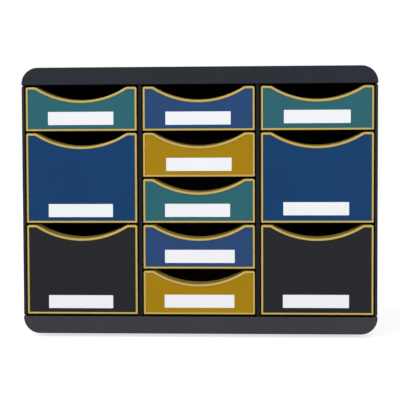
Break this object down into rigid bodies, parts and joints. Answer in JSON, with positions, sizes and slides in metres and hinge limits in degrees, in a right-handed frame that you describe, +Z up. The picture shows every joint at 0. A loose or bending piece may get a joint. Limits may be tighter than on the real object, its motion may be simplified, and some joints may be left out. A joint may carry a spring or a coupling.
{
  "type": "desktop drawer cabinet",
  "caption": "Desktop drawer cabinet with stacked small and large drawers, gold-edged coloured fronts and finger cut-outs.",
  "frame": {"origin": "centre of the bounding box, on the surface that the feet stand on", "axes": "+X across the width, to the right seen from the front; +Y from the fronts to the back; +Z up"},
  "size_m": [0.355, 0.27, 0.271],
  "materials": {
    "casing": "fine-grained anthracite moulding",
    "feet": "plain soft rubber",
    "tray_teal": "fine-grained teal moulding",
    "tray_blue": "fine-grained blue moulding",
    "tray_navy": "fine-grained navy moulding",
    "tray_black": "fine-grained near-black moulding",
    "tray_mustard": "fine-grained mustard moulding",
    "edging": "gold-coloured satin foil on moulded plastic",
    "label": "blank white paper card"
  },
  "bodies": {
    "casing": {"top_cover": "casing", "base_cover": "casing", "left_side_panel": "casing", "right_side_panel": "casing", "left_divider": "casing", "right_divider": "casing", "rear_panel": "casing", "rubber_feet": "feet"},
    "drawer_left_top": {"tray_left_top": "tray_teal", "edging_left_top": "edging", "label_left_top": "label"},
    "drawer_left_middle": {"tray_left_middle": "tray_navy", "edging_left_middle": "edging", "label_left_middle": "label"},
    "drawer_left_bottom": {"tray_left_bottom": "tray_black", "edging_left_bottom": "edging", "label_left_bottom": "label"},
    "drawer_centre_first": {"tray_centre_first": "tray_blue", "edging_centre_first": "edging", "label_centre_first": "label"},
    "drawer_centre_second": {"tray_centre_second": "tray_mustard", "edging_centre_second": "edging", "label_centre_second": "label"},
    "drawer_centre_third": {"tray_centre_third": "tray_teal", "edging_centre_third": "edging", "label_centre_third": "label"},
    "drawer_centre_fourth": {"tray_centre_fourth": "tray_blue", "edging_centre_fourth": "edging", "label_centre_fourth": "label"},
    "drawer_centre_fifth": {"tray_centre_fifth": "tray_mustard", "edging_centre_fifth": "edging", "label_centre_fifth": "label"},
    "drawer_right_top": {"tray_right_top": "tray_teal", "edging_right_top": "edging", "label_right_top": "label"},
    "drawer_right_middle": {"tray_right_middle": "tray_navy", "edging_right_middle": "edging", "label_right_middle": "label"},
    "drawer_right_bottom": {"tray_right_bottom": "tray_black", "edging_right_bottom": "edging", "label_right_bottom": "label"}
  },
  "joints": [
    {"name": "slide_left_top", "type": "slide", "parent": "casing", "child": "drawer_left_top", "axis": [0, -1, 0], "range_m": [0, 0.205]},
    {"name": "slide_left_middle", "type": "slide", "parent": "casing", "child": "drawer_left_middle", "axis": [0, -1, 0], "range_m": [0, 0.205]},
    {"name": "slide_left_bottom", "type": "slide", "parent": "casing", "child": "drawer_left_bottom", "axis": [0, -1, 0], "range_m": [0, 0.205]},
    {"name": "slide_centre_first", "type": "slide", "parent": "casing", "child": "drawer_centre_first", "axis": [0, -1, 0], "range_m": [0, 0.205]},
    {"name": "slide_centre_second", "type": "slide", "parent": "casing", "child": "drawer_centre_second", "axis": [0, -1, 0], "range_m": [0, 0.205]},
    {"name": "slide_centre_third", "type": "slide", "parent": "casing", "child": "drawer_centre_third", "axis": [0, -1, 0], "range_m": [0, 0.205]},
    {"name": "slide_centre_fourth", "type": "slide", "parent": "casing", "child": "drawer_centre_fourth", "axis": [0, -1, 0], "range_m": [0, 0.205]},
    {"name": "slide_centre_fifth", "type": "slide", "parent": "casing", "child": "drawer_centre_fifth", "axis": [0, -1, 0], "range_m": [0, 0.205]},
    {"name": "slide_right_top", "type": "slide", "parent": "casing", "child": "drawer_right_top", "axis": [0, -1, 0], "range_m": [0, 0.205]},
    {"name": "slide_right_middle", "type": "slide", "parent": "casing", "child": "drawer_right_middle", "axis": [0, -1, 0], "range_m": [0, 0.205]},
    {"name": "slide_right_bottom", "type": "slide", "parent": "casing", "child": "drawer_right_bottom", "axis": [0, -1, 0], "range_m": [0, 0.205]}
  ]
}
